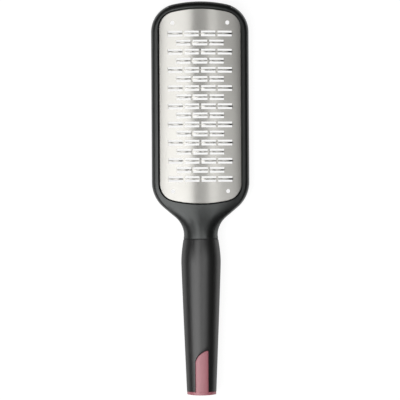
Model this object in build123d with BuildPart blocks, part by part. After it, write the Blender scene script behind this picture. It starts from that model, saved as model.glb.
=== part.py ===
from build123d import *
import math
import os

os.makedirs("parts", exist_ok=True)

# A paddle rasp lying on its back. +Y runs from the grip to the tip, +Z is the side with the
# blades, and all sizes are in millimetres.

# Overall sizes
total_length = 282.75
overrun = 2.0

# Head outline
head_width = 70.3
rail_width = 5.7
tip_radius = 96.3
tip_corner_radius = 20.0
shoulder_radius = 24.0
shoulder_distance = 15.5
shoulder_slope_degrees = 49.85
rim_rounding = 4.2
back_height = 1.5
back_bevel = 1.2

# Window over the plate
window_length = 139.6
window_corner_radius = 12.24
window_tip_radius = 90.0
window_neck_radius = 86.5
tip_rim_width = 5.6
lip_height = 1.8
lip_bevel = 1.1

# Bowed plate
plate_radius = 108.0
plate_crown = 15.0
plate_thickness = 0.5
plate_margin = 1.3
seat_clearance = 0.15
corner_hole_diameter = 3.0
corner_hole_spacing = 39.6
tip_hole_distance = 9.7
neck_hole_distance = 8.8

# Rows of raised blades, four cells and three cells in turn
row_count = 17
long_row_count = 4
first_row_distance = 17.6
last_row_distance = 17.5
row_side_margin = 6.3
cell_gap = 1.57
slot_width = 1.4
blade_width = 1.25
blade_rise = 0.8
blade_bevel = 0.2

# Ring behind the plate, with its snap lugs
bezel_reveal = 1.5
bezel_recess = 0.4
lug_count = 3
lug_pitch = 42.0
lug_length = 8.0
lug_depth = 0.6
lug_height = 1.8
lug_rise = 2.0

# Soft pad at the tip
foot_width = 46.0
foot_wall = 1.4
foot_sole_inset = 0.5
foot_sole_bevel = 0.4

# Neck
neck_width = 24.2
waist_radius = 17.0
waist_seam_distance = 2.2
seam_width = 25.0
seam_gap = 0.7
seam_depth = 1.0
neck_intervals = 12

# Grip, with its height above the ground at three stations
swell_distance = 17.3
swell_width = 28.4
butt_width = 21.2
seam_low = 2.0
seam_high = 20.0
swell_low = 0.0
swell_high = 22.0
butt_low = 1.0
butt_high = 19.0
flank_radius_share = 1.12
taper_power = 1.08
edge_rounding = 2.2
grip_intervals = 10

# Tang inside the grip
tang_width = 12.4
tang_height = 9.0
tang_rounding = 2.5
key_hole_length = 9.0
key_hole_width = 5.0
key_hole_pitch = 24.0

# End cap, with its spigot and the tongue on top of the grip
cap_thickness = 2.5
cap_inset = 0.15
cap_end_radius = 180.0
cap_bevel = 0.3
spigot_width = 6.0
spigot_height = 4.6
spigot_length = 12.0
tongue_width = 9.4
tongue_short_length = 24.0
tongue_long_length = 32.7
tongue_bulge = 3.1
tongue_recess = 0.3
opening_short_gap = 1.2
opening_long_gap = 3.2

# Places that follow from the sizes
tip_y = total_length / 2
butt_y = -total_length / 2
window_tip_y = tip_y - tip_rim_width
window_neck_y = window_tip_y - window_length
head_half = head_width / 2
window_half = head_half - rail_width
arch_axis_z = plate_crown - plate_radius
rim_crown = plate_crown + lip_height
rim_radius = plate_radius + lip_height
rim_drop = rim_radius - math.sqrt(rim_radius**2 - head_half**2)
sole_reach = tip_rim_width - plate_margin - 2 * seat_clearance
row_pitch = (window_length - first_row_distance - last_row_distance) / (row_count - 1)
row_width = 2 * (window_half - row_side_margin)
cell_length = (row_width - (long_row_count - 1) * cell_gap) / long_row_count
cell_turn = math.degrees((cell_length + cell_gap) / plate_radius)

# Shoulder and waist arcs, with the straight slope that touches both
slope_turn = math.radians(shoulder_slope_degrees)
shoulder_x = head_half - shoulder_radius
shoulder_y = window_neck_y + shoulder_distance
waist_x = neck_width / 2 + waist_radius
slope_top_x = shoulder_x + shoulder_radius * math.cos(slope_turn)
slope_top_y = shoulder_y - shoulder_radius * math.sin(slope_turn)
slope_foot_x = waist_x - waist_radius * math.cos(slope_turn)
slope_foot_y = slope_top_y - (slope_top_x - slope_foot_x) / math.tan(slope_turn)
waist_y = slope_foot_y - waist_radius * math.sin(slope_turn)

# Seam, swell and end of the grip, and what lies inside it
seam_y = waist_y - waist_seam_distance
neck_length = window_neck_y - seam_y
swell_y = seam_y - swell_distance
grip_end_y = butt_y + cap_thickness
tang_z = (seam_low + seam_high + butt_low + butt_high) / 4
tang_top = tang_z + tang_height / 2
key_hole_room = swell_y - grip_end_y - spigot_length
key_hole_count = int(key_hole_room / key_hole_pitch)


def blend(start, end, share):
    """Value between two sizes, at a share of the way."""
    return start + (end - start) * share


def ease(share):
    """Share of the way with a level start and a level end."""
    return share * share * (3 - 2 * share)


def head_half_width(y):
    """Half width of the head and neck outline at one station."""
    if y >= shoulder_y:
        return head_half
    if y >= slope_top_y:
        return shoulder_x + math.sqrt(shoulder_radius**2 - (shoulder_y - y) ** 2)
    if y >= slope_foot_y:
        share = (slope_top_y - y) / (slope_top_y - slope_foot_y)
        return blend(slope_top_x, slope_foot_x, share)
    if y >= waist_y:
        return waist_x - math.sqrt(waist_radius**2 - (y - waist_y) ** 2)
    return blend(neck_width, seam_width, (waist_y - y) / (waist_y - seam_y)) / 2


def end_turn(half_width, end_radius, corner_radius):
    """Angle, in degrees, that a bowed end turns before its corner arc starts."""
    return math.degrees(math.asin((half_width - corner_radius) / (end_radius - corner_radius)))


def head_outline():
    """Plan of the head, from the tip to where the shoulders start to turn in."""
    turn = end_turn(head_half, tip_radius, tip_corner_radius)
    with BuildSketch() as outline:
        with BuildLine():
            end = JernArc((0, tip_y), (1, 0), tip_radius, -turn)
            corner = JernArc(end @ 1, end % 1, tip_corner_radius, turn - 90)
            Polyline(corner @ 1, (head_half, shoulder_y), (0, shoulder_y))
            mirror(about=Plane.YZ)
        make_face()
    return outline.sketch


def window_outline():
    """Plan of the window, with bowed ends and rounded corners."""
    tip_turn = end_turn(window_half, window_tip_radius, window_corner_radius)
    neck_turn = end_turn(window_half, window_neck_radius, window_corner_radius)
    with BuildSketch() as outline:
        with BuildLine():
            top = JernArc((0, window_tip_y), (1, 0), window_tip_radius, -tip_turn)
            top_corner = JernArc(top @ 1, top % 1, window_corner_radius, tip_turn - 90)
            low = JernArc((0, window_neck_y), (1, 0), window_neck_radius, neck_turn)
            low_corner = JernArc(low @ 1, low % 1, window_corner_radius, 90 - neck_turn)
            Line(top_corner @ 1, low_corner @ 1)
            mirror(about=Plane.YZ)
        make_face()
    return outline.sketch


def oval(half_width, low, high, low_drop, high_drop, low_corner, high_corner, soften_low=fillet):
    """Cross section with a crowned top, short flanks and a crowned or flat underside."""
    left, right = -half_width, half_width
    with BuildSketch() as section:
        with BuildLine():
            ThreePointArc((left, high - high_drop), (0, high), (right, high - high_drop))
            Line((right, high - high_drop), (right, low + low_drop))
            if low_drop > 0:
                ThreePointArc((right, low + low_drop), (0, low), (left, low + low_drop))
            else:
                Line((right, low), (left, low))
            Line((left, low + low_drop), (left, high - high_drop))
        make_face()
        fillet(section.vertices().group_by(Axis.Y)[-1], high_corner)
        soften_low(section.vertices().group_by(Axis.Y)[0], low_corner)
    return section.sketch


def flank_drop(half_width):
    """How far the crown of a grip section falls to its flank."""
    return half_width * (flank_radius_share - math.sqrt(flank_radius_share**2 - 1))


def neck_section(y):
    """Cross section of the shoulders and the neck at one station."""
    share = ease(min(1, max(0, (window_neck_y - y) / neck_length)))
    seam_drop = flank_drop(seam_width / 2)
    return oval(
        head_half_width(y),
        blend(back_height, seam_low, share),
        blend(rim_crown, seam_high, share),
        blend(0, seam_drop, share),
        blend(rim_drop, seam_drop, share),
        back_bevel,
        blend(rim_rounding, edge_rounding, share),
        soften_low=chamfer,
    )


def grip_size(y):
    """Half width, low and high of the grip at one station."""
    if y > swell_y:
        share = math.sin((seam_y - y) / swell_distance * math.pi / 2)
        ends = ((seam_width, swell_width), (seam_low, swell_low), (seam_high, swell_high))
    else:
        share = ((swell_y - y) / (swell_y - grip_end_y)) ** taper_power
        ends = ((swell_width, butt_width), (swell_low, butt_low), (swell_high, butt_high))
    width, low, high = (blend(start, end, share) for start, end in ends)
    return width / 2, low, high


def grip_section(half_width, low, high, inset):
    """Oval of the grip, drawn inside the outer one by the inset."""
    half_width = half_width - inset
    drop = flank_drop(half_width)
    return oval(half_width, low + inset, high - inset, drop, drop, edge_rounding, edge_rounding)


def grip_form(inset):
    """Outer form of the grip, drawn in by the inset."""
    with BuildPart() as form:
        for index in range(grip_intervals + 1):
            y = blend(seam_y, grip_end_y, index / grip_intervals)
            half_width, low, high = grip_size(y)
            with BuildSketch(Plane.XZ.offset(-y)):
                add(grip_section(half_width, low, high, inset))
        loft()
    return form.part


def space_under_arch(radius, plan_growth):
    """Space below an arch about the axis of the plate, over the window plan grown all round."""
    with BuildPart() as space:
        with BuildSketch(Plane.XZ.offset(-tip_y)):
            with Locations((0, arch_axis_z)):
                Circle(radius)
            with Locations((0, seam_high / 2)):
                Rectangle(head_width, seam_high, mode=Mode.INTERSECT)
        extrude(amount=tip_y - seam_y)
        with BuildSketch():
            add(window_outline())
            offset(amount=plan_growth)
        extrude(amount=seam_high, mode=Mode.INTERSECT)
    return space.part


def foot_plan(outer_growth, wall, half_width):
    """Plan of a strip along the tip, from outside the outline to the wall's inner side."""
    with BuildSketch() as inner:
        add(head_outline())
        offset(amount=-wall)
    with BuildSketch() as plan:
        add(head_outline())
        offset(amount=outer_growth)
        add(inner.sketch, mode=Mode.SUBTRACT)
        with Locations((0, tip_y)):
            Rectangle(2 * half_width, 2 * tip_corner_radius, mode=Mode.INTERSECT)
    return plan.sketch


def lug_profile(clearance):
    """Wedge of one snap lug on the right side of the bezel."""
    foot_x = window_half + plate_margin - lug_depth
    tip_x = window_half + plate_margin + lug_depth + clearance
    low_z = back_height + lug_rise - clearance
    high_z = back_height + lug_rise + lug_height + clearance
    with BuildSketch() as profile:
        with BuildLine():
            Polyline((foot_x, low_z), (tip_x, high_z - lug_depth), (tip_x, high_z), (foot_x, high_z))
            Line((foot_x, high_z), (foot_x, low_z))
        make_face()
    return profile.sketch


def snap_lugs(clearance):
    """Lugs along both sides of the bezel, grown by the clearance."""
    with BuildPart() as lugs:
        for index in range(lug_count):
            y = (window_tip_y + window_neck_y) / 2 + (index - (lug_count - 1) / 2) * lug_pitch
            with BuildSketch(Plane.XZ.offset(-y)):
                add(lug_profile(clearance))
                mirror(about=Plane.YZ)
            extrude(amount=lug_length / 2 + clearance, both=True)
    return lugs.part


def tongue_plan(side_gap, short_gap, long_gap):
    """Plan of the tongue on the grip: straight sides and a slanted, bowed end."""
    half_width = tongue_width / 2 + side_gap
    short_y = butt_y + tongue_short_length + short_gap
    long_y = butt_y + tongue_long_length + long_gap
    with BuildSketch() as plan:
        with BuildLine():
            end = ThreePointArc(
                (-half_width, short_y),
                (0, (short_y + long_y) / 2 + tongue_bulge),
                (half_width, long_y),
            )
            Polyline(end @ 1, (half_width, butt_y), (-half_width, butt_y), end @ 0)
        make_face()
    return plan.sketch


def spigot_block(clearance):
    """Spigot of the end cap, or its socket in the tang when it is grown by the clearance."""
    with BuildPart() as block:
        with BuildSketch(Plane.XZ.offset(-grip_end_y)):
            with Locations((0, tang_z)):
                Rectangle(spigot_width + 2 * clearance, spigot_height + 2 * clearance)
        extrude(amount=-spigot_length - clearance)
    return block.part


def cell_places():
    """Places of the blade cells on the crown of the plate, turned about its axis."""
    places = []
    for row in range(row_count):
        y = window_tip_y - first_row_distance - row * row_pitch
        cells = long_row_count - row % 2
        for cell in range(cells):
            turn = (cell - (cells - 1) / 2) * cell_turn
            x = plate_radius * math.sin(math.radians(turn))
            z = arch_axis_z + plate_radius * math.cos(math.radians(turn))
            places.append(Location((x, y, z), (0, turn, 0)))
    return places


# Outer form that the rim, the neck and the tip pad share
with BuildPart() as head_form:
    with BuildSketch(Plane.XY.offset(back_height)):
        add(head_outline())
    extrude(amount=rim_crown)
    with BuildSketch(Plane.XZ.offset(-tip_y)):
        with Locations((0, rim_crown - rim_radius)):
            Circle(rim_radius)
        with Locations((0, rim_crown / 2)):
            Rectangle(head_width + overrun, rim_crown, mode=Mode.INTERSECT)
    extrude(amount=tip_y - shoulder_y, mode=Mode.INTERSECT)
    top_edges = head_form.faces().sort_by(Axis.Z)[-1].edges()
    fillet(top_edges.sort_by(Axis.Y)[1:], rim_rounding)
    back_edges = head_form.faces().sort_by(Axis.Z)[0].edges()
    chamfer(back_edges.sort_by(Axis.Y)[1:], back_bevel)
    sections = [head_form.faces().sort_by(Axis.Y)[0]]
    for index in range(1, neck_intervals + 1):
        y = blend(shoulder_y, seam_y, index / neck_intervals)
        with BuildSketch(Plane.XZ.offset(-y), mode=Mode.PRIVATE) as station:
            add(neck_section(y))
        sections.append(station.sketch)
    loft(sections=sections)

# Strip of the tip that the pad takes up
with BuildPart() as foot_space:
    with BuildSketch():
        add(foot_plan(overrun, foot_wall, foot_width / 2))
    extrude(amount=rim_crown + overrun)

# Rim, neck and tang, one rigid moulding
with BuildPart() as head_frame:
    add(head_form.part)
    add(foot_space.part, mode=Mode.SUBTRACT)
    with BuildSketch():
        add(window_outline())
    extrude(amount=seam_high, mode=Mode.SUBTRACT)
    window_edges = head_frame.edges(Select.NEW).filter_by(Axis.Z, reverse=True)
    lip_edges = window_edges.filter_by(lambda edge: (edge @ 0.5).Z > plate_crown / 2)
    chamfer(lip_edges, lip_bevel)
    plate_seat = space_under_arch(plate_radius + seat_clearance, plate_margin + seat_clearance)
    add(plate_seat, mode=Mode.SUBTRACT)
    add(snap_lugs(seat_clearance), mode=Mode.SUBTRACT)
    with BuildSketch(Plane.XZ.offset(-seam_y)):
        add(grip_section(seam_width / 2, seam_low, seam_high, seam_depth))
    extrude(amount=seam_gap)
    with BuildSketch(Plane.XZ.offset(-seam_y)):
        with Locations((0, tang_z)):
            RectangleRounded(tang_width, tang_height, tang_rounding)
    extrude(amount=seam_y - grip_end_y)
    for index in range(key_hole_count):
        with BuildSketch():
            with Locations((0, swell_y - index * key_hole_pitch)):
                SlotOverall(key_hole_length, key_hole_width, rotation=90)
        extrude(amount=swell_high, mode=Mode.SUBTRACT)
    add(spigot_block(seat_clearance), mode=Mode.SUBTRACT)

# Stainless plate, bowed about its long axis, with raised double-edged blades
with BuildPart() as blade:
    half_length = cell_length / 2
    under_radius = plate_radius - plate_thickness
    top_end = math.sqrt(plate_radius**2 - half_length**2) - plate_radius
    low_end = math.sqrt(under_radius**2 - half_length**2) - plate_radius
    low_rise = blade_rise - plate_thickness
    with BuildSketch(Plane.XZ):
        with BuildLine():
            ThreePointArc((-half_length, top_end), (0, blade_rise), (half_length, top_end))
            Line((half_length, top_end), (half_length, low_end))
            ThreePointArc((half_length, low_end), (0, low_rise), (-half_length, low_end))
            Line((-half_length, low_end), (-half_length, top_end))
        make_face()
    extrude(amount=blade_width / 2, both=True)
    chamfer(blade.edges().filter_by(GeomType.CIRCLE).group_by(Axis.Z)[-1], blade_bevel)

with BuildPart() as grating_plate:
    with BuildSketch(Plane.XZ.offset(-tip_y)):
        with Locations((0, arch_axis_z)):
            Circle(plate_radius)
            Circle(under_radius, mode=Mode.SUBTRACT)
        with Locations((0, plate_crown / 2)):
            Rectangle(head_width, plate_crown + overrun, mode=Mode.INTERSECT)
    extrude(amount=tip_y - seam_y)
    with BuildSketch():
        add(window_outline())
        offset(amount=plate_margin)
    extrude(amount=plate_crown + overrun, mode=Mode.INTERSECT)
    for y in (window_tip_y - tip_hole_distance, window_neck_y + neck_hole_distance):
        for x in (-corner_hole_spacing / 2, corner_hole_spacing / 2):
            with Locations((x, y, plate_crown)):
                Hole(corner_hole_diameter / 2)
    places = cell_places()
    with Locations(*places):
        Box(cell_length, blade_width + 2 * slot_width, overrun, mode=Mode.SUBTRACT)
    with Locations(*places):
        add(blade.part)

# Ring that holds the margin of the plate against the lip from behind
with BuildPart() as rear_bezel:
    add(space_under_arch(under_radius - seat_clearance, plate_margin))
    with BuildSketch():
        add(window_outline())
        offset(amount=-bezel_reveal)
    extrude(amount=seam_high, mode=Mode.SUBTRACT)
    split(bisect_by=Plane.XY.offset(back_height + bezel_recess))
    add(snap_lugs(0))

# Soft pad in the rebate of the tip, with the flat sole that it rests on
with BuildPart() as tip_foot:
    add(head_form.part)
    add(foot_space.part, mode=Mode.INTERSECT)
    with BuildSketch():
        add(foot_plan(-foot_sole_inset, sole_reach, foot_width / 2 - foot_sole_inset))
    extrude(amount=back_height)
    with BuildSketch():
        add(foot_plan(-foot_sole_inset, foot_wall, foot_width / 2 - foot_sole_inset))
    extrude(amount=back_height + back_bevel)
    chamfer(tip_foot.faces().sort_by(Axis.Z)[0].edges(), foot_sole_bevel)

# Pink end plate with its spigot and the tongue
with BuildPart() as butt_cap:
    with BuildSketch():
        add(tongue_plan(0, 0, 0))
    extrude(amount=swell_high)
    add(grip_form(tongue_recess), mode=Mode.INTERSECT)
    split(bisect_by=Plane.XY.offset(tang_top))
    add(head_frame.part, mode=Mode.SUBTRACT)
    with BuildSketch(Plane.XZ.offset(-grip_end_y)):
        add(grip_section(butt_width / 2, butt_low, butt_high, cap_inset))
    extrude(amount=cap_thickness)
    add(spigot_block(0))
    with BuildSketch():
        with Locations((0, butt_y + cap_end_radius)):
            Circle(cap_end_radius)
    extrude(amount=swell_high, mode=Mode.INTERSECT)
    chamfer(butt_cap.faces().sort_by(Axis.Y)[0].edges(), cap_bevel)

# Soft sleeve moulded round the tang, open on top for the tongue
with BuildPart() as grip_sleeve:
    add(grip_form(0))
    split(bisect_by=Plane.XZ.offset(seam_gap - seam_y))
    add(head_frame.part, mode=Mode.SUBTRACT)
    add(spigot_block(seat_clearance), mode=Mode.SUBTRACT)
    with BuildSketch(Plane.XY.offset(tang_top)):
        add(tongue_plan(seat_clearance, opening_short_gap, opening_long_gap))
    extrude(amount=swell_high, mode=Mode.SUBTRACT)

head_frame.part.label = "head_frame"
grating_plate.part.label = "grating_plate"
rear_bezel.part.label = "rear_bezel"
tip_foot.part.label = "tip_foot"
butt_cap.part.label = "butt_cap"
grip_sleeve.part.label = "grip_sleeve"
export_step(head_frame.part, "parts/head_frame.step")
export_step(grating_plate.part, "parts/grating_plate.step")
export_step(rear_bezel.part, "parts/rear_bezel.step")
export_step(tip_foot.part, "parts/tip_foot.step")
export_step(butt_cap.part, "parts/butt_cap.step")
export_step(grip_sleeve.part, "parts/grip_sleeve.step")
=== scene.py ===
import math

import bmesh
import bpy
from mathutils import Matrix, Vector


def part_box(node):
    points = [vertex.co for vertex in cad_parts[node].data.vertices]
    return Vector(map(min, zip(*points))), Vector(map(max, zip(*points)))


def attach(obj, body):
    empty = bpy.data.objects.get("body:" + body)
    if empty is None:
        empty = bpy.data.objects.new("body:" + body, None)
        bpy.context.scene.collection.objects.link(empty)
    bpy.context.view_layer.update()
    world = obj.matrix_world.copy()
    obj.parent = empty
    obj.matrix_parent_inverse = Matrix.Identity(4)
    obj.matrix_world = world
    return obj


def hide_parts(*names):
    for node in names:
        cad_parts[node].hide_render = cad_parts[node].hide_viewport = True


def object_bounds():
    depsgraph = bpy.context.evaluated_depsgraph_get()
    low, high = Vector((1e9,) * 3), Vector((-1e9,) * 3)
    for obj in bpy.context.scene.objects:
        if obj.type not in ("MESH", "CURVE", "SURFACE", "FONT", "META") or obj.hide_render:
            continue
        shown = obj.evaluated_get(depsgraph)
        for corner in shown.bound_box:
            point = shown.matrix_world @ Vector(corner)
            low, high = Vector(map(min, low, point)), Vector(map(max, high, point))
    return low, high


# A paddle rasp that lies on its back, seen from straight above. All sizes are in metres.
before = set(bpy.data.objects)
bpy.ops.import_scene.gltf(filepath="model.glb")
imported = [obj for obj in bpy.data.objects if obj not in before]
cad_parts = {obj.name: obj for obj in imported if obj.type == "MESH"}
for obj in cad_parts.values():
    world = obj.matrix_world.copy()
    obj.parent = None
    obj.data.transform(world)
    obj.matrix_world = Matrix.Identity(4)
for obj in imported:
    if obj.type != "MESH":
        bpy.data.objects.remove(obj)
cad_low, cad_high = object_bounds()

# Groove between the neck and the sleeve
seam_gap = 0.0007
seam_depth = 0.0004

# Places taken from the frame
tip_y = cad_high.y
butt_y = cad_low.y
head_half = cad_high.x
plate_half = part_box("grating_plate")[1].x
seam_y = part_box("grip_sleeve")[1].y + seam_gap
grip_end_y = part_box("grip_sleeve")[0].y
swell_high = cad_high.z

# Head
rail_width = 0.0057
tip_rim_width = 0.0056
tip_radius = 0.0963
tip_corner_radius = 0.020
rim_rounding = 0.0042
back_height = 0.0015
back_bevel = 0.0012
lip_height = 0.0018
window_length = 0.1396
window_corner_radius = 0.01224
window_tip_radius = 0.090
window_neck_radius = 0.0865
window_half = head_half - rail_width
window_tip_y = tip_y - tip_rim_width
window_neck_y = window_tip_y - window_length

# Bowed plate with its four holes
plate_radius = 0.108
plate_crown = 0.015
plate_thickness = 0.0005
plate_margin = plate_half - window_half
rim_radius = plate_radius + lip_height
rim_crown = plate_crown + lip_height
hole_diameter = 0.003
hole_spacing = 0.0396
hole_block_margin = 0.0005
tip_hole_distance = 0.0097
neck_hole_distance = 0.0088

# Staggered rows of cells, each a blade between two slots
row_count = 17
long_row_count = 4
first_row_distance = 0.0176
last_row_distance = 0.0175
row_pitch = (window_length - first_row_distance - last_row_distance) / (row_count - 1)
row_side_margin = 0.0063
cell_gap = 0.00157
cell_pitch = (2 * (window_half - row_side_margin) + cell_gap) / long_row_count
slot_width = 0.0014
blade_width = 0.00125
blade_rise = 0.0006
blade_bevel = 0.0002

# Six lines run along each row of cells, from 0 on the tip side: a slot starts at lines 0 and 4
slot_lines = (0, 4)
blade_lines = (1, 2, 3, 4)
blade_edge_lines = (1, 4)

# Fineness of the plate's mesh
end_rows = 9
gap_steps = 2
cell_steps = 4
side_steps = 6
cell_end_slack = 1.0001

# Soft pad at the tip
foot_half = 0.023
foot_wall = 0.0014
foot_stations = 48
foot_turn_steps = 6
sole_inset = 0.0005
sole_bevel = 0.0004
sole_reach = 0.0040

# Grip, with its height above the ground at three stations
seam_half = 0.0125
seam_low = 0.002
seam_high = 0.020
swell_half = 0.0142
swell_distance = 0.0173
swell_y = seam_y - swell_distance
butt_half = 0.0106
butt_low = 0.001
butt_high = 0.019
taper_power = 1.08
flank_share = 1.12
edge_rounding = 0.0022
tang_top = 0.015
sleeve_front_y = seam_y - seam_gap

# Fineness of the grip's mesh
strip_columns = 5
crown_columns = 9
corner_columns = 5
sleeve_rows = 64

# End plate of the cap
cap_inset = 0.00015
cap_thickness = grip_end_y - butt_y
cap_end_radius = 0.180
cap_edge = 0.0004
cap_edge_steps = 4
cap_ring_shares = (0.8, 0.55, 0.3, 0.1)

# Tongue of the cap
tongue_half = 0.0047
tongue_shift = 0.0003
tongue_short_length = 0.0240
tongue_long_length = 0.0322
tongue_bulge = 0.0023
tongue_recess = 0.0003
tongue_rows = 18

# Opening of the sleeve round the tongue
seat_clearance = 0.00015
short_gap = 0.0007
long_gap = 0.0023
opening_half = tongue_half + seat_clearance
opening_slope_depth = 0.0005
opening_slope_share = 0.05
opening_pull_rows = 8
opening_middle_y = butt_y + (tongue_short_length + tongue_long_length + short_gap + long_gap) / 2
opening_row = round(sleeve_rows * (sleeve_front_y - opening_middle_y) / (sleeve_front_y - grip_end_y))

# Softened edges of the drawn pieces
sleeve_softening = 0.0002
cap_softening = 0.0005
pad_softening = 0.00015
grip_sharp_angle = 50
pad_sharp_angle = 30
plate_sharp_angle = 30

# Camera
picture_pixels = 400
metres_per_pixel = 0.00072
camera_distance = 1.5
camera_roll_degrees = -0.307
shift_right_pixels = 0.7
shift_up_pixels = 1.895
focus_height = 0.010
sensor_width_mm = 36.0

# Studio
floor_size = 6.0
floor_colour = (0.8, 0.8, 0.8, 1.0)
floor_seen_colour = (0.25, 0.25, 0.25, 1.0)
floor_seen_glow = 0.88
studio_glow = 0.03
white = (1.0, 1.0, 1.0, 1.0)
lamp_distance = 0.9

# Softboxes: lean to the right and to the tip in degrees, size across and along, and radiance
lamps = {
    "left_softbox": (-19, -13, (0.43, 1.25), 2.2),
    "left_low_softbox": (-44, -20, (0.34, 0.6), 2.4),
    "left_side_softbox": (-62, -14, (0.26, 0.9), 0.2),
    "top_strip": (1, -13, (0.12, 1.25), 0.75),
    "right_strip": (10, -13, (0.13, 1.25), 1.75),
    "right_softbox": (25, -20, (0.36, 1.1), 0.55),
    "right_middle_softbox": (22, -1, (0.28, 0.30), 1.25),
}

# Brushed steel, with the scales of its brush lines across, along and up
steel_colour = (0.555, 0.545, 0.515)
steel_roughness = 0.32
steel_roughness_spread = 0.03
steel_anisotropy = 0.9
steel_cloud_scale = 60.0
steel_cloud_depth = 0.06
brush_scales = (40, 6000, 900)
brush_detail = 4.0
brush_strength = 0.08
brush_depth = 0.00001

# Plastic and rubber: each grain is its scale and its depth
plastic_grain = (4000, 0.00004)
gloss_grain = (4000, 0.00003)
rubber_grain = (3000, 0.00005)
grain_detail = 3.0
grain_strength = 0.4
grain_roughness_spread = 0.05
cloud_scale = 130.0
cloud_detail = 2.0
cloud_depth = 0.08
neutral_cast = (1.0, 1.0, 1.0)
cool_cast = (0.96, 1.0, 0.99)

# Worn edges: where the wear starts and is full, as the cosine between true and rounded surface
wear_reach = 0.0004
wear_start = 0.99
wear_full = 0.80
wear_samples = 4
wear_depth = 1.5
wear_polish = 0.10


class Graph:
    """Short calls for the nodes of one material or world."""

    def __init__(self, tree):
        self.tree = tree
        tree.nodes.clear()

    def add(self, kind, inputs=None, **settings):
        """New node of a kind, with its settings, and its inputs as values or sockets."""
        node = self.tree.nodes.new(kind)
        for name, value in settings.items():
            setattr(node, name, value)
        for key, value in (inputs or {}).items():
            if isinstance(value, bpy.types.NodeSocket):
                self.tree.links.new(value, node.inputs[key])
            else:
                node.inputs[key].default_value = value
        return node

    def math(self, operation, first, second=0.0, third=0.0):
        """Result of one sum."""
        inputs = {0: first, 1: second, 2: third}
        return self.add("ShaderNodeMath", inputs, operation=operation).outputs[0]

    def noise(self, place, scale, detail):
        """Noise of one scale, from 0 to 1."""
        inputs = {"Vector": place, "Scale": scale, "Detail": detail}
        return self.add("ShaderNodeTexNoise", inputs).outputs[0]

    def between(self, share, low, high):
        """Value that goes from low to high as a share goes from 0 to 1."""
        inputs = {"Value": share, "To Min": low, "To Max": high}
        return self.add("ShaderNodeMapRange", inputs).outputs[0]

    def tint(self, colour, strength):
        """Colour that is made lighter or darker by a strength."""
        inputs = {0: colour, "Scale": strength}
        return self.add("ShaderNodeVectorMath", inputs, operation="SCALE").outputs[0]

    def bump(self, height, strength, depth):
        """Surface direction over fine bumps."""
        inputs = {"Height": height, "Strength": strength, "Distance": depth}
        return self.add("ShaderNodeBump", inputs).outputs[0]


def new_material(name):
    """New material with its graph."""
    material = bpy.data.materials.new(name)
    material.use_nodes = True
    return material, Graph(material.node_tree)


def set_material(piece, material):
    """Gives a piece one material."""
    piece.data.materials.clear()
    piece.data.materials.append(material)


def place_piece(piece, node, material):
    """Gives a new piece its material and lets it stand for a node of the frame."""
    piece.data.materials.append(material)
    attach(piece, "root")
    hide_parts(node)


def edge_mask(graph):
    """Shader value that is 0 on even faces and 1 on sharp edges."""
    rounded = graph.add("ShaderNodeBevel", {"Radius": wear_reach}, samples=wear_samples).outputs[0]
    true = graph.add("ShaderNodeNewGeometry").outputs["Normal"]
    dot = graph.add("ShaderNodeVectorMath", {0: rounded, 1: true}, operation="DOT_PRODUCT")
    inputs = {"Value": dot.outputs["Value"], "From Min": wear_start, "From Max": wear_full}
    return graph.add("ShaderNodeMapRange", inputs).outputs[0]


def matte_material(name, colour, roughness, grain, shine=1.0, cast=neutral_cast):
    """Moulded plastic or rubber with a fine grain, faint clouds and slightly worn edges."""
    material, graph = new_material(name)
    grain_scale, grain_depth = grain
    place = graph.add("ShaderNodeTexCoord").outputs["Object"]
    grains = graph.noise(place, grain_scale, grain_detail)
    clouds = graph.noise(place, cloud_scale, cloud_detail)
    shade = graph.between(clouds, 1 - cloud_depth, 1 + cloud_depth)
    wear = graph.math("MULTIPLY", edge_mask(graph), clouds)
    brighter = graph.math("MULTIPLY_ADD", wear, wear_depth, 1.0)
    strength = graph.math("MULTIPLY", shade, brighter)
    rough = graph.between(
        grains, roughness - grain_roughness_spread, roughness + grain_roughness_spread
    )
    shader = graph.add(
        "ShaderNodeBsdfPrincipled",
        {
            "Base Color": graph.tint(colour, strength),
            "Roughness": graph.math("MULTIPLY_ADD", wear, -wear_polish, rough),
            "Normal": graph.bump(grains, grain_strength, grain_depth),
            "Specular IOR Level": shine,
            "Specular Tint": (*cast, 1.0),
        },
    )
    graph.add("ShaderNodeOutputMaterial", {"Surface": shader.outputs[0]})
    return material


def steel_material():
    """Stainless sheet, brushed across the rasp, so its reflections stretch along it."""
    material, graph = new_material("brushed_steel")
    place = graph.add("ShaderNodeTexCoord").outputs["Object"]
    stretched = graph.add("ShaderNodeMapping", {"Vector": place, "Scale": brush_scales}).outputs[0]
    lines = graph.noise(stretched, 1.0, brush_detail)
    clouds = graph.noise(place, steel_cloud_scale, cloud_detail)
    rough = graph.between(
        lines, steel_roughness - steel_roughness_spread, steel_roughness + steel_roughness_spread
    )
    shade = graph.between(clouds, 1 - steel_cloud_depth, 1 + steel_cloud_depth)
    tangent = graph.add("ShaderNodeTangent", direction_type="UV_MAP", uv_map="along")
    shader = graph.add(
        "ShaderNodeBsdfPrincipled",
        {
            "Base Color": graph.tint(steel_colour, shade),
            "Metallic": 1.0,
            "Roughness": rough,
            "Anisotropic": steel_anisotropy,
            "Tangent": tangent.outputs[0],
            "Normal": graph.bump(lines, brush_strength, brush_depth),
        },
    )
    graph.add("ShaderNodeOutputMaterial", {"Surface": shader.outputs[0]})
    return material


def arc_drop(radius, distance):
    """How far a circle has fallen away at a distance from its highest point."""
    return radius - math.sqrt(radius**2 - distance**2)


def blend(start, end, share):
    """Value between two sizes, at a share of the way."""
    return start + (end - start) * share


def spread(start, end, count):
    """Evenly spaced values from start to end, both included."""
    return [blend(start, end, index / count) for index in range(count + 1)]


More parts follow.
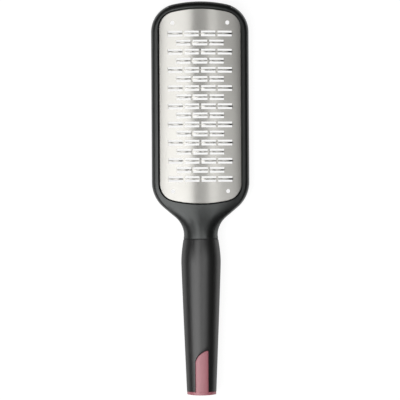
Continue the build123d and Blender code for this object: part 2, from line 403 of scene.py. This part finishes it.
def circle_through(first, second, third):
    """Centre and radius of the circle through three points."""
    (ax, ay), (bx, by), (cx, cy) = first, second, third
    double = 2 * (ax * (by - cy) + bx * (cy - ay) + cx * (ay - by))
    a, b, c = (x * x + y * y for x, y in (first, second, third))
    x = (a * (by - cy) + b * (cy - ay) + c * (ay - by)) / double
    y = (a * (cx - bx) + b * (ax - cx) + c * (bx - ax)) / double
    return x, y, math.hypot(ax - x, ay - y)


def grip_size(y):
    """Half width, low and high of the grip at one station."""
    if y > swell_y:
        share = math.sin((seam_y - y) / (seam_y - swell_y) * math.pi / 2)
        ends = ((seam_half, swell_half), (seam_low, 0), (seam_high, swell_high))
    else:
        share = max(0, (swell_y - y) / (swell_y - grip_end_y)) ** taper_power
        ends = ((swell_half, butt_half), (0, butt_low), (swell_high, butt_high))
    return [blend(start, end, share) for start, end in ends]


def drawn_in(size, inset):
    """Half width, low and high of a section that lies inside another one."""
    half, low, high = size
    return half - inset, low + inset, high - inset


def oval_half(half, low, high, strip_half):
    """Points down the right side of a grip section, with its first ones along a strip on top."""
    radius = flank_share * half
    corner = radius - edge_rounding
    reach = half - edge_rounding
    flank_turn = math.asin(reach / corner)
    strip_turn = math.asin(strip_half / radius)
    turns = [math.asin(x / radius) for x in spread(0, strip_half, strip_columns)]
    turns += spread(strip_turn, flank_turn, crown_columns)[1:]
    arc = [(radius * math.sin(turn), radius * (1 - math.cos(turn))) for turn in turns]
    centre_drop = radius - math.sqrt(corner**2 - reach**2)
    for turn in spread(flank_turn, math.pi / 2, corner_columns)[1:]:
        x = reach + edge_rounding * math.sin(turn)
        arc.append((x, centre_drop - edge_rounding * math.cos(turn)))
    upper = [(x, high - drop) for x, drop in arc]
    lower = [(x, low + drop) for x, drop in reversed(arc)]
    return upper + lower


def oval_ring(half, low, high, strip_half, strip_shift=0):
    """Points round a grip section, clockwise from the middle of its top."""
    right = oval_half(half, low, high, strip_half + strip_shift)
    left = oval_half(half, low, high, strip_half - strip_shift)
    return right + [(-x, z) for x, z in reversed(left[1:-1])]


def tongue_end(x, half, short_room, long_room):
    """Station where the slanted, bowed end of the tongue, or of its opening, crosses x."""
    short_y = butt_y + tongue_short_length + short_room
    long_y = butt_y + tongue_long_length + long_room
    middle_y = (short_y + long_y) / 2 + tongue_bulge
    centre_x, centre_y, radius = circle_through((-half, short_y), (0, middle_y), (half, long_y))
    return centre_y + math.sqrt(radius**2 - (x - centre_x) ** 2)


class Skin:
    """Vertices and faces of one piece as they are gathered."""

    def __init__(self):
        self.points = []
        self.faces = []

    def add(self, point):
        """Adds a point and gives its number."""
        self.points.append(point)
        return len(self.points) - 1

    def ring(self, points):
        """Adds a ring of points and gives their numbers."""
        return [self.add(point) for point in points]

    def drop(self, ring, z):
        """Adds the points of a ring again at one height and gives their numbers."""
        return [self.add((*self.points[index][:2], z)) for index in ring]

    def close(self, ring):
        """One face over a ring."""
        self.faces.append(tuple(ring))

    def quad(self, first, second, index):
        """Face between two rings, from one place on them to the next."""
        after = (index + 1) % len(first)
        self.faces.append((first[index], first[after], second[after], second[index]))

    def join(self, first, second, closed=True):
        """Faces between two rings of the same length."""
        for index in range(len(first) if closed else len(first) - 1):
            self.quad(first, second, index)

    def join_all(self, rings, closed=True):
        """Faces between each ring and the next."""
        for first, second in zip(rings, rings[1:]):
            self.join(first, second, closed)

    def piece(self, name):
        """Object of the gathered faces, smooth and with its faces turned outwards."""
        mesh = bpy.data.meshes.new(name)
        mesh.from_pydata(self.points, [], self.faces)
        form = bmesh.new()
        form.from_mesh(mesh)
        bmesh.ops.recalc_face_normals(form, faces=form.faces)
        for face in form.faces:
            face.smooth = True
        form.to_mesh(mesh)
        form.free()
        piece = bpy.data.objects.new(name, mesh)
        bpy.context.scene.collection.objects.link(piece)
        return piece


def soften(piece, width, segments, angle_degrees):
    """Rounds the sharp edges of a piece and keeps its large faces even."""
    bevel = piece.modifiers.new("edges", "BEVEL")
    bevel.width = width
    bevel.segments = segments
    bevel.limit_method = "ANGLE"
    bevel.angle_limit = math.radians(angle_degrees)
    weighted = piece.modifiers.new("normals", "WEIGHTED_NORMAL")
    weighted.keep_sharp = True


def sleeve_rings(skin):
    """Rings of the sleeve, bent so that one of them follows the end of the opening."""
    opening_row_y = blend(sleeve_front_y, grip_end_y, opening_row / sleeve_rows)
    rings = []
    for row in range(sleeve_rows + 1):
        y = blend(sleeve_front_y, grip_end_y, row / sleeve_rows)
        pull = max(0, 1 - abs(row - opening_row) / opening_pull_rows)
        ring = oval_ring(*grip_size(y), opening_half, tongue_shift)
        points = []
        for index, (x, _) in enumerate(ring):
            reach = max(-opening_half, min(opening_half, x - tongue_shift))
            crossing = tongue_end(reach, opening_half, short_gap, long_gap)
            away = min(index, len(ring) - index)
            fade = max(0, min(1, 1 - (away - strip_columns) / crown_columns))
            station = y + (crossing - opening_row_y) * pull * fade
            bent = oval_ring(*grip_size(station), opening_half, tongue_shift)[index]
            points.append((bent[0], station, bent[1]))
        rings.append(skin.ring(points))
    return rings


def line_opening(skin, rings):
    """Slope, walls and floor of the opening, and the end of the sleeve round it."""
    count = len(rings[0])
    rim = [rings[row][strip_columns] for row in range(sleeve_rows, opening_row, -1)]
    rim += [rings[opening_row][index % count] for index in range(strip_columns, -strip_columns - 1, -1)]
    rim += [rings[row][count - strip_columns] for row in range(opening_row + 1, sleeve_rows + 1)]
    slope = []
    for index in rim:
        x, y, z = skin.points[index]
        end_y = tongue_end(x - tongue_shift, opening_half, seat_clearance, seat_clearance)
        slope_y = min(y, blend(end_y, y, opening_slope_share))
        slope.append(skin.add((x, slope_y, z - opening_slope_depth)))
    floor = skin.drop(slope, tang_top)
    skin.join(rim, slope, closed=False)
    skin.join(slope, floor, closed=False)
    skin.close(floor)
    last = rings[-1][strip_columns:count - strip_columns + 1]
    skin.close([*last, slope[0], floor[0], floor[-1], slope[-1]])


def make_sleeve():
    """Soft sleeve of the grip, with the opening for the tongue and the groove at the neck."""
    skin = Skin()
    rings = sleeve_rings(skin)
    count = len(rings[0])
    opened = set(range(strip_columns)) | set(range(count - strip_columns, count))
    for row, (first, second) in enumerate(zip(rings, rings[1:])):
        for index in range(count):
            if row < opening_row or index not in opened:
                skin.quad(first, second, index)
    line_opening(skin, rings)
    inner = oval_ring(*drawn_in(grip_size(sleeve_front_y), seam_depth), opening_half)
    collar = skin.ring([(x, sleeve_front_y, z) for x, z in inner])
    flange = skin.ring([(x, seam_y, z) for x, z in inner])
    skin.join(rings[0], collar)
    skin.join(collar, flange)
    skin.close(flange)
    sleeve = skin.piece("grip_sleeve_skin")
    # The collar and flange faces of the groove take the second material: painted shade that darkens the
    # seam
    groove = set(collar + flange)
    for face in sleeve.data.polygons:
        face.material_index = int(groove.issuperset(face.vertices))
    soften(sleeve, sleeve_softening, segments=2, angle_degrees=grip_sharp_angle)
    return sleeve


def add_end_plate(skin):
    """End plate of the cap, with its bowed end."""
    size = grip_size(grip_end_y)
    outer = drawn_in(size, cap_inset)
    middle_z = (size[1] + size[2]) / 2

    def plate_ring(inset, lift):
        """Ring round the end plate, drawn in and lifted off its bowed end."""
        return [
            (x, butt_y + arc_drop(cap_end_radius, x) + lift, z)
            for x, z in oval_ring(*drawn_in(outer, inset), tongue_half)
        ]

    front = [(x, grip_end_y, z) for x, _, z in plate_ring(0, 0)]
    rings = [skin.ring(front)]
    for turn in spread(0, math.pi / 2, cap_edge_steps):
        inset = cap_edge * (1 - math.cos(turn))
        rings.append(skin.ring(plate_ring(inset, cap_edge * (1 - math.sin(turn)))))
    for share in cap_ring_shares:
        points = [(x * share, z) for x, _, z in plate_ring(cap_edge, 0)]
        ring = []
        for x, z in points:
            ring.append((x, butt_y + arc_drop(cap_end_radius, x), blend(middle_z, z, share)))
        rings.append(skin.ring(ring))
    skin.join_all(rings)
    skin.close(rings[0])
    skin.close(rings[-1])


def add_tongue(skin):
    """Tongue of the cap, a little below the top of the grip."""
    columns = spread(tongue_shift - tongue_half, tongue_shift + tongue_half, 2 * strip_columns)
    root_y = grip_end_y - cap_thickness / 2
    rows = []
    for share in spread(0, 1, tongue_rows):
        points = []
        for x in columns:
            y = blend(tongue_end(x - tongue_shift, tongue_half, 0, 0), root_y, share)
            half, _, high = grip_size(max(y, grip_end_y))
            radius = flank_share * (half - tongue_recess)
            points.append((x, y, high - tongue_recess - arc_drop(radius, x)))
        rows.append(skin.ring(points))
    skin.join_all(rows, closed=False)
    edge = [row[0] for row in reversed(rows)] + rows[0][1:-1] + [row[-1] for row in rows]
    floor = skin.drop(edge, tang_top)
    skin.join(edge, floor, closed=False)
    skin.close(floor)
    skin.close([*rows[-1], floor[-1], floor[0]])


def make_cap():
    """Pink end plate with the tongue that lies on the grip."""
    skin = Skin()
    add_end_plate(skin)
    add_tongue(skin)
    cap = skin.piece("butt_cap_skin")
    soften(cap, cap_softening, segments=3, angle_degrees=grip_sharp_angle)
    return cap


def tip_outline(x):
    """Station and outward direction of the head's tip outline at one place across."""
    reach = abs(x)
    turn = math.asin((head_half - tip_corner_radius) / (tip_radius - tip_corner_radius))
    if reach <= tip_radius * math.sin(turn):
        lean = math.asin(reach / tip_radius)
        y = tip_y - tip_radius * (1 - math.cos(lean))
    else:
        centre_x = head_half - tip_corner_radius
        centre_y = tip_y - tip_radius + (tip_radius - tip_corner_radius) * math.cos(turn)
        lean = math.asin((reach - centre_x) / tip_corner_radius)
        y = centre_y + tip_corner_radius * math.cos(lean)
    return y, (math.copysign(math.sin(lean), x), math.cos(lean))


def make_tip_pad():
    """Soft strip round the tip, with the sole under it."""
    skin = Skin()
    start = math.asin(1 - foot_wall / rim_rounding)
    sole = [
        (0, back_height + back_bevel),
        (sole_inset, back_height + back_bevel - sole_inset),
        (sole_inset, sole_bevel),
        (sole_inset + sole_bevel, 0),
        (sole_reach - sole_bevel, 0),
        (sole_reach, sole_bevel),
        (sole_reach, back_height),
        (foot_wall, back_height),
    ]
    rings = []
    for x in spread(-foot_half, foot_half, foot_stations):
        y, (lean_x, lean_y) = tip_outline(x)
        inner_x = x - lean_x * rim_rounding
        top = rim_crown - arc_drop(rim_radius, abs(inner_x))
        profile = []
        for turn in spread(start, math.pi / 2, foot_turn_steps):
            distance = rim_rounding * (1 - math.sin(turn))
            profile.append((distance, top - rim_rounding * (1 - math.cos(turn))))
        profile += sole
        ring = [(x - lean_x * distance, y - lean_y * distance, z) for distance, z in profile]
        rings.append(skin.ring(ring))
    skin.join_all(rings)
    skin.close(rings[0])
    skin.close(rings[-1])
    pad = skin.piece("tip_pad_skin")
    soften(pad, pad_softening, segments=2, angle_degrees=pad_sharp_angle)
    return pad


def plate_limit(x, neck_side):
    """Station of the plate's bowed end at one place across, at the tip or at the neck."""
    corner = window_corner_radius
    end_radius = window_neck_radius if neck_side else window_tip_radius
    centre_x = window_half - corner
    turn = math.asin(centre_x / (end_radius - corner))
    reach = min(abs(x), plate_half)
    if reach <= (end_radius + plate_margin) * math.sin(turn):
        depth = arc_drop(end_radius + plate_margin, reach) - plate_margin
    else:
        corner_depth = end_radius - (end_radius - corner) * math.cos(turn)
        depth = corner_depth - math.sqrt(max(0, (corner + plate_margin) ** 2 - (reach - centre_x) ** 2))
    return window_neck_y + depth if neck_side else window_tip_y - depth


def plate_columns():
    """Places across the plate, along its bow: the cell ends with even steps between them."""
    gaps = [(index / 2) * cell_pitch for index in range(-long_row_count, long_row_count + 1)]
    columns = []
    for gap in gaps:
        columns += spread(gap - cell_gap / 2, gap + cell_gap / 2, gap_steps)
        if gap != gaps[-1]:
            columns += spread(gap + cell_gap / 2, gap + (cell_pitch - cell_gap) / 2, cell_steps)[1:-1]
    edge = plate_radius * math.asin(plate_half / plate_radius)
    right = spread(columns[-1], edge, side_steps)[1:]
    return [-u for u in reversed(right)] + columns + right


def plate_stations():
    """Stations along the plate, each with its row of cells and line, or with neither between rows."""
    half = blade_width / 2
    steps = (half + slot_width, half, half - blade_bevel, blade_bevel - half, -half, -half - slot_width)
    stations = []
    for row in range(row_count):
        y = window_tip_y - first_row_distance - row * row_pitch
        stations += [(y + step, row, line) for line, step in enumerate(steps)]
        if row < row_count - 1:
            stations.append((y - row_pitch / 2, None, None))
    return stations


def plate_point(u, y, lift=0):
    """Point on the bowed sheet at a distance along its bow, lifted off it."""
    turn = u / plate_radius
    reach = plate_radius + lift
    return reach * math.sin(turn), y, plate_crown - plate_radius + reach * math.cos(turn)


def cell_at(u, row):
    """Place within its cell of a point across the plate, from -1 to 1, or None in a gap."""
    cells = long_row_count - row % 2
    half = (cell_pitch - cell_gap) / 2
    for cell in range(cells):
        offset = u - (cell - (cells - 1) / 2) * cell_pitch
        if abs(offset) <= half * cell_end_slack:
            return offset / half
    return None


def blade_lift(u, row, line):
    """How far a blade stands off the sheet at one place on a line, or 0 beside the blades."""
    lift = 0
    if line in blade_lines:
        within = cell_at(u, row)
        if within is not None:
            lift = blade_rise * (1 - within**2)
            if line in blade_edge_lines:
                lift -= blade_bevel * (1 - within**2)
    return lift


def plate_grid(skin, columns):
    """Rows of points from the tip to the neck, each with its row of cells and line."""
    stations = plate_stations()
    across = [plate_point(u, 0)[0] for u in columns]
    tip_ends = [plate_limit(x, False) for x in across]
    neck_ends = [plate_limit(x, True) for x in across]

    def end_row(y, ends, share):
        """Row of points at a share of the way from a station to one end of the plate."""
        return skin.ring([plate_point(u, blend(y, end, share)) for u, end in zip(columns, ends)])

    grid = []
    for share in spread(1, 0, end_rows)[:-1]:
        grid.append((end_row(stations[0][0], tip_ends, share), None, None))
    for y, row, line in stations:
        points = [plate_point(u, y, blade_lift(u, row, line)) for u in columns]
        grid.append((skin.ring(points), row, line))
    for share in spread(0, 1, end_rows)[1:]:
        grid.append((end_row(stations[-1][0], neck_ends, share), None, None))
    return grid


def hole_block(skin, grid, columns, x, y):
    """Ring of faces round a hole, and the block of the grid that it takes the place of."""
    centre = plate_radius * math.asin(x / plate_radius)
    reach = hole_diameter / 2 + hole_block_margin
    left = max(index for index, u in enumerate(columns) if u < centre - reach)
    right = min(index for index, u in enumerate(columns) if u > centre + reach)
    column = (left + right) // 2
    stations = [skin.points[row[column]][1] for row, _, _ in grid]
    top = max(index for index, station in enumerate(stations) if station > y + reach)
    foot = min(index for index, station in enumerate(stations) if station < y - reach)
    loop = [grid[top][0][index] for index in range(left, right)]
    loop += [grid[index][0][right] for index in range(top, foot)]
    loop += [grid[foot][0][index] for index in range(right, left, -1)]
    loop += [grid[index][0][left] for index in range(foot, top, -1)]
    edge = []
    for index in loop:
        point = Vector(skin.points[index])
        u = plate_radius * math.atan2(point.x, point.z - plate_crown + plate_radius)
        away = Vector((u - centre, point.y - y)).normalized() * hole_diameter / 2
        edge.append(skin.add(plate_point(centre + away.x, y + away.y)))
    skin.join(loop, edge)
    return top, foot, left, right


def make_plate():
    """Bowed sheet with rows of slots and of raised blades that cut both ways."""
    skin = Skin()
    columns = plate_columns()
    grid = plate_grid(skin, columns)
    holes = []
    for y in (window_tip_y - tip_hole_distance, window_neck_y + neck_hole_distance):
        for x in (-hole_spacing / 2, hole_spacing / 2):
            holes.append(hole_block(skin, grid, columns, x, y))
    for index, ((first, row, line), (second, _, _)) in enumerate(zip(grid, grid[1:])):
        for column in range(len(columns) - 1):
            middle = (columns[column] + columns[column + 1]) / 2
            slotted = line in slot_lines and cell_at(middle, row) is not None
            holed = any(
                top <= index < foot and left <= column < right
                for top, foot, left, right in holes
            )
            if not slotted and not holed:
                skin.quad(first, second, column)
    plate = skin.piece("grating_plate_skin")
    sheet = plate.modifiers.new("sheet", "SOLIDIFY")
    sheet.thickness = plate_thickness
    sheet.offset = -1
    crease = plate.modifiers.new("crease", "EDGE_SPLIT")
    crease.split_angle = math.radians(plate_sharp_angle)
    along = plate.data.uv_layers.new(name="along")
    for loop in plate.data.loops:
        x, y, _ = plate.data.vertices[loop.vertex_index].co
        along.data[loop.index].uv = (y / window_length, x / window_length)
    return plate


def make_floor():
    """Pale floor that shows white to the camera and in reflections, and keeps a soft shadow."""
    mesh = bpy.data.meshes.new("floor")
    half = floor_size / 2
    corners = [(-half, -half, 0), (half, -half, 0), (half, half, 0), (-half, half, 0)]
    mesh.from_pydata(corners, [], [(0, 1, 2, 3)])
    floor = bpy.data.objects.new("floor", mesh)
    bpy.context.scene.collection.objects.link(floor)
    material, graph = new_material("floor")
    rays = graph.add("ShaderNodeLightPath").outputs
    seen = graph.math("MAXIMUM", rays["Is Camera Ray"], rays["Is Transmission Ray"])
    seen = graph.math("MAXIMUM", seen, rays["Is Glossy Ray"])
    paper = graph.add("ShaderNodeBsdfDiffuse", {"Color": floor_colour})
    tinted = graph.add("ShaderNodeBsdfDiffuse", {"Color": floor_seen_colour})
    glow = graph.add("ShaderNodeEmission", {"Color": white, "Strength": floor_seen_glow})
    lit = graph.add("ShaderNodeAddShader", {0: tinted.outputs[0], 1: glow.outputs[0]})
    mixed = graph.add("ShaderNodeMixShader", {0: seen, 1: paper.outputs[0], 2: lit.outputs[0]})
    graph.add("ShaderNodeOutputMaterial", {"Surface": mixed.outputs[0]})
    set_material(floor, material)


def make_world():
    """Dark studio round the object, white where the camera sees it."""
    world = bpy.data.worlds.new("studio")
    bpy.context.scene.world = world
    world.use_nodes = True
    graph = Graph(world.node_tree)
    camera_ray = graph.add("ShaderNodeLightPath").outputs["Is Camera Ray"]
    studio = graph.add("ShaderNodeBackground", {"Color": white, "Strength": studio_glow})
    backdrop = graph.add("ShaderNodeBackground", {"Color": white, "Strength": 1.0})
    mixed = graph.add(
        "ShaderNodeMixShader",
        {0: camera_ray, 1: studio.outputs[0], 2: backdrop.outputs[0]},
    )
    graph.add("ShaderNodeOutputWorld", {"Surface": mixed.outputs[0]})


def make_lamp(name, lean_right, lean_tip, size, radiance):
    """Softbox that faces the middle of the object and that the camera doesn't see."""
    slopes = (math.tan(math.radians(lean_right)), math.tan(math.radians(lean_tip)))
    away = Vector((*slopes, 1)).normalized()
    across = Vector((0, 1, 0)).cross(away).normalized()
    data = bpy.data.lights.new(name, "AREA")
    data.shape = "RECTANGLE"
    data.size, data.size_y = size
    data.energy = radiance * size[0] * size[1] * math.pi
    lamp = bpy.data.objects.new(name, data)
    bpy.context.scene.collection.objects.link(lamp)
    lamp.location = away * lamp_distance
    lamp.rotation_euler = Matrix((across, away.cross(across), away)).transposed().to_euler()
    lamp.visible_camera = False


def make_camera():
    """Long lens straight above the middle of the object."""
    data = bpy.data.cameras.new("camera")
    data.sensor_width = sensor_width_mm
    seen = picture_pixels * metres_per_pixel
    data.lens = sensor_width_mm * camera_distance / seen
    camera = bpy.data.objects.new("camera", data)
    bpy.context.scene.collection.objects.link(camera)
    x = -shift_right_pixels * metres_per_pixel
    y = -shift_up_pixels * metres_per_pixel
    camera.location = (x, y, camera_distance + focus_height)
    camera.rotation_euler = (0, 0, math.radians(camera_roll_degrees))
    bpy.context.scene.camera = camera


bpy.context.scene.view_settings.view_transform = "Standard"
make_camera()
make_floor()
make_world()
for lamp_name, lamp_settings in lamps.items():
    make_lamp(lamp_name, *lamp_settings)

steel = steel_material()
frame_plastic = matte_material(
    "frame_plastic", (0.005, 0.0053, 0.0052), roughness=0.33, grain=plastic_grain, cast=cool_cast
)
bezel_plastic = matte_material(
    "bezel_plastic", (0.006, 0.0063, 0.006), roughness=0.42, grain=plastic_grain
)
pad_rubber = matte_material("pad_rubber", (0.010, 0.009, 0.010), roughness=0.6, grain=rubber_grain)
grip_rubber = matte_material(
    "grip_rubber", (0.005, 0.0051, 0.005), roughness=0.36, grain=rubber_grain
)
# Duller, rougher rubber for the groove's faces: painted shade, so the seam reads as a dark line
groove_painted_shade_rubber = matte_material(
    "groove_painted_shade_rubber", (0.012, 0.012, 0.012), roughness=0.7, grain=rubber_grain, shine=0.6
)
cap_plastic = matte_material("cap_plastic", (0.52, 0.172, 0.21), roughness=0.35, grain=gloss_grain)

set_material(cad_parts["head_frame"], frame_plastic)
set_material(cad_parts["rear_bezel"], bezel_plastic)
place_piece(make_plate(), "grating_plate", steel)
place_piece(make_tip_pad(), "tip_foot", pad_rubber)
sleeve = make_sleeve()
place_piece(sleeve, "grip_sleeve", grip_rubber)
# Second material of the sleeve: painted shade in the groove at the neck
sleeve.data.materials.append(groove_painted_shade_rubber)
place_piece(make_cap(), "butt_cap", cap_plastic)
